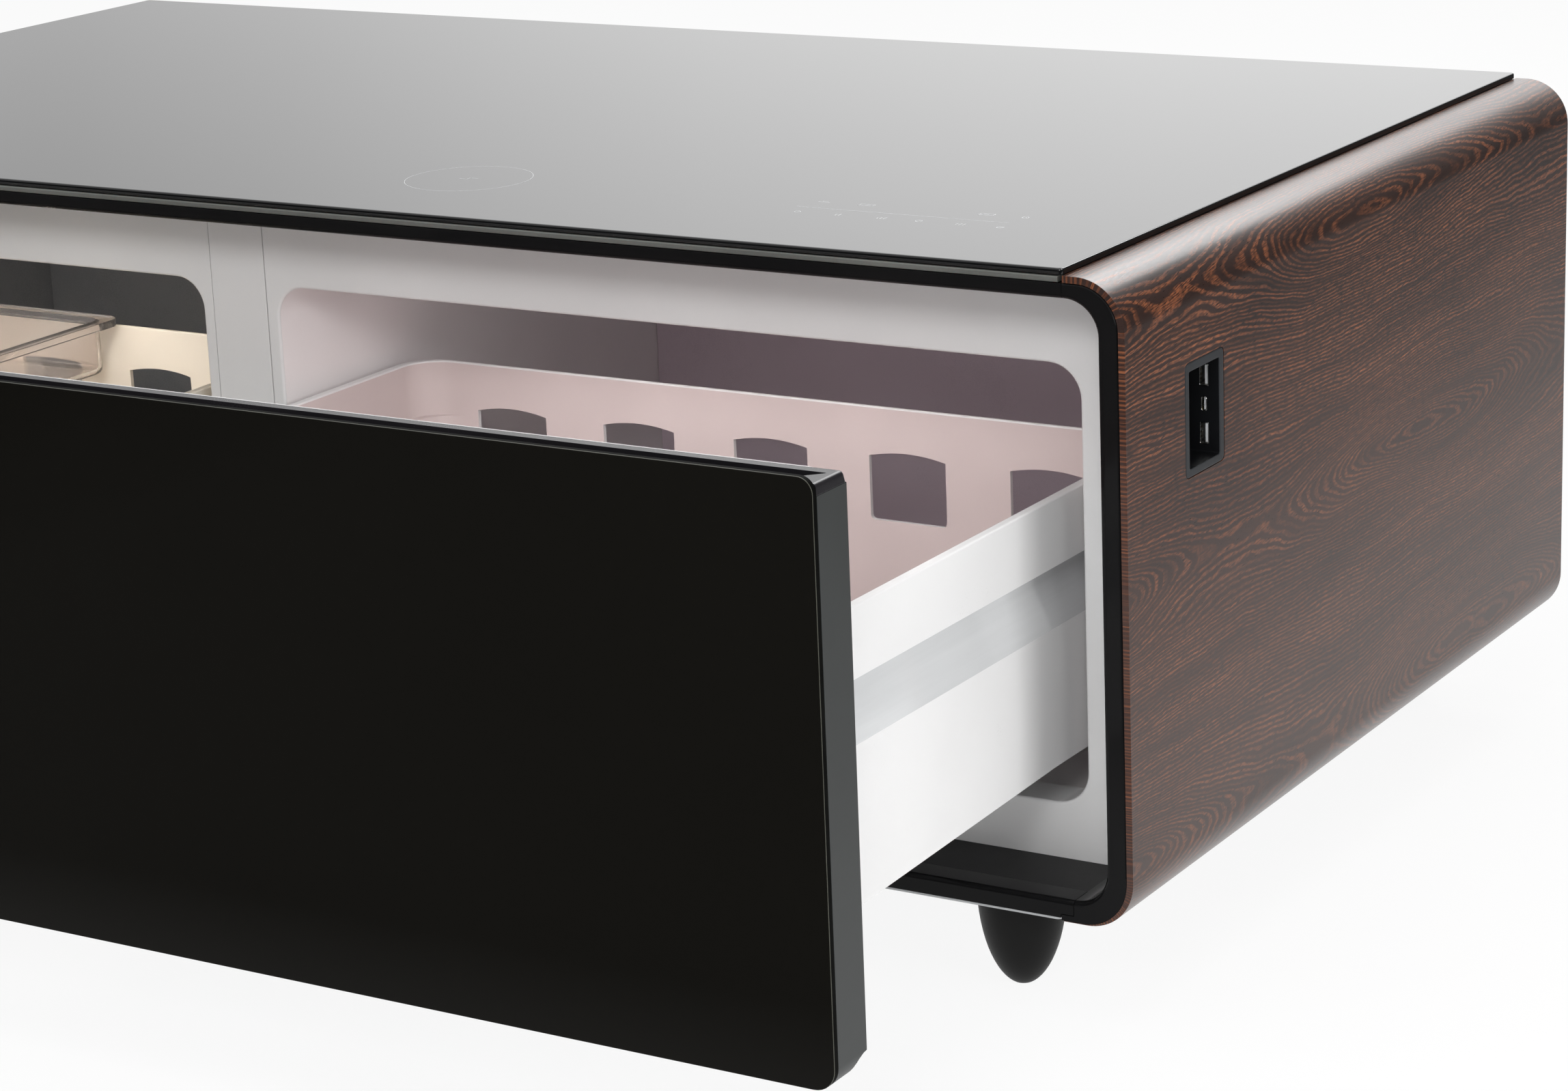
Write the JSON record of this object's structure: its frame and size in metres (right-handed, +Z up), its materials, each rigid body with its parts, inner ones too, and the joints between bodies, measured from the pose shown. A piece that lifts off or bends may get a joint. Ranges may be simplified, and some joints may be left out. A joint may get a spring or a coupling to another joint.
{
  "type": "refrigerator coffee table",
  "caption": "Low coffee table with rounded wood sides and a glass top, whose front is a wide refrigerated drawer on telescopic slides, with a sliding clear tray and a charging module in its side.",
  "frame": {"origin": "centre of the bounding box's bottom face, on the floor, with the drawer standing open as at rest", "axes": "+X along the table to the side with the charging module, -Y out of the drawer's front, +Z up"},
  "size_m": [1.3, 0.987, 0.449],
  "materials": {
    "dark_wood": "satin",
    "black_gloss": "gloss",
    "black_glass": "polished",
    "charcoal_plastic": "satin",
    "black_plastic": "satin",
    "white_plastic": "satin",
    "cream_plastic": "satin",
    "clear_plastic": "polished",
    "diffuser": "matte",
    "foam": "matte",
    "grey_rubber": "matte",
    "zinc_steel": "satin",
    "painted_steel": "satin",
    "dark_steel": "satin",
    "dark_cover": "matte",
    "aluminium": "satin",
    "copper_winding": "satin",
    "circuit_board": "satin"
  },
  "bodies": {
    "cabinet": {"side_panel_right": "dark_wood", "side_panel_left": "dark_wood", "frame_side_right": "black_gloss", "frame_side_left": "black_gloss", "frame_top_rail": "black_gloss", "frame_bottom_rail": "black_gloss", "light_strip": "diffuser", "glass_top": "black_glass", "top_tray": "black_gloss", "charger_coil": "copper_winding", "touch_board": "circuit_board", "mullion_cover": "white_plastic", "insulation": "foam", "base_plate": "painted_steel", "back_panel": "dark_steel", "charging_module": "charcoal_plastic", "usb_a_upper": "zinc_steel", "usb_a_lower": "zinc_steel", "usb_c": "zinc_steel", "condenser": "aluminium", "fan_shroud": "black_plastic", "compressor": "dark_steel", "drain_pan": "charcoal_plastic", "control_box": "white_plastic", "power_inlet": "black_plastic", "liner_right": "white_plastic", "liner_left": "white_plastic", "evaporator_cover_right": "dark_cover", "evaporator_cover_left": "dark_cover", "evaporator_right": "aluminium", "evaporator_left": "aluminium", "lamp_right": "diffuser", "lamp_left": "diffuser", "slide_channel_right_outer": "zinc_steel", "slide_channel_right_inner": "zinc_steel", "slide_channel_left_outer": "zinc_steel", "slide_channel_left_inner": "zinc_steel", "foot_front_right": "black_plastic", "foot_back_right": "black_plastic", "foot_front_left": "black_plastic", "foot_back_left": "black_plastic"},
    "drawer": {"door_glass": "black_glass", "door_frame": "charcoal_plastic", "door_inner": "white_plastic", "gasket_right": "grey_rubber", "gasket_left": "grey_rubber", "bin_right": "white_plastic", "bin_left": "cream_plastic", "slide_cap_right_outer": "zinc_steel", "slide_cap_right_inner": "zinc_steel", "slide_cap_left_outer": "zinc_steel", "slide_cap_left_inner": "zinc_steel"},
    "slide_right_outer": {"slide_beam_right_outer": "zinc_steel"},
    "slide_right_inner": {"slide_beam_right_inner": "zinc_steel"},
    "slide_left_outer": {"slide_beam_left_outer": "zinc_steel"},
    "slide_left_inner": {"slide_beam_left_inner": "zinc_steel"},
    "sliding_tray": {"clear_tray": "clear_plastic"},
    "fan": {"fan_rotor": "charcoal_plastic"}
  },
  "joints": [
    {"name": "drawer_slide", "type": "slide", "parent": "cabinet", "child": "drawer", "axis": [0, -1, 0], "range_m": [-0.302, 0.098]},
    {"name": "beam_right_outer_slide", "type": "slide", "parent": "cabinet", "child": "slide_right_outer", "axis": [0, -1, 0], "range_m": [-0.151, 0.049]},
    {"name": "beam_right_inner_slide", "type": "slide", "parent": "cabinet", "child": "slide_right_inner", "axis": [0, -1, 0], "range_m": [-0.151, 0.049]},
    {"name": "beam_left_outer_slide", "type": "slide", "parent": "cabinet", "child": "slide_left_outer", "axis": [0, -1, 0], "range_m": [-0.151, 0.049]},
    {"name": "beam_left_inner_slide", "type": "slide", "parent": "cabinet", "child": "slide_left_inner", "axis": [0, -1, 0], "range_m": [-0.151, 0.049]},
    {"name": "tray_slide", "type": "slide", "parent": "drawer", "child": "sliding_tray", "axis": [1, 0, 0], "range_m": [-0.067, 0.172]},
    {"name": "fan_spin", "type": "hinge", "parent": "cabinet", "child": "fan", "pos_m": [0.1703, 0.4128, 0.1488], "axis": [0, 1, 0], "continuous": true}
  ],
  "couplings": [
    {"joint": "beam_right_outer_slide", "follows": "drawer_slide", "ratio": 0.5},
    {"joint": "beam_right_inner_slide", "follows": "drawer_slide", "ratio": 0.5},
    {"joint": "beam_left_outer_slide", "follows": "drawer_slide", "ratio": 0.5},
    {"joint": "beam_left_inner_slide", "follows": "drawer_slide", "ratio": 0.5}
  ]
}
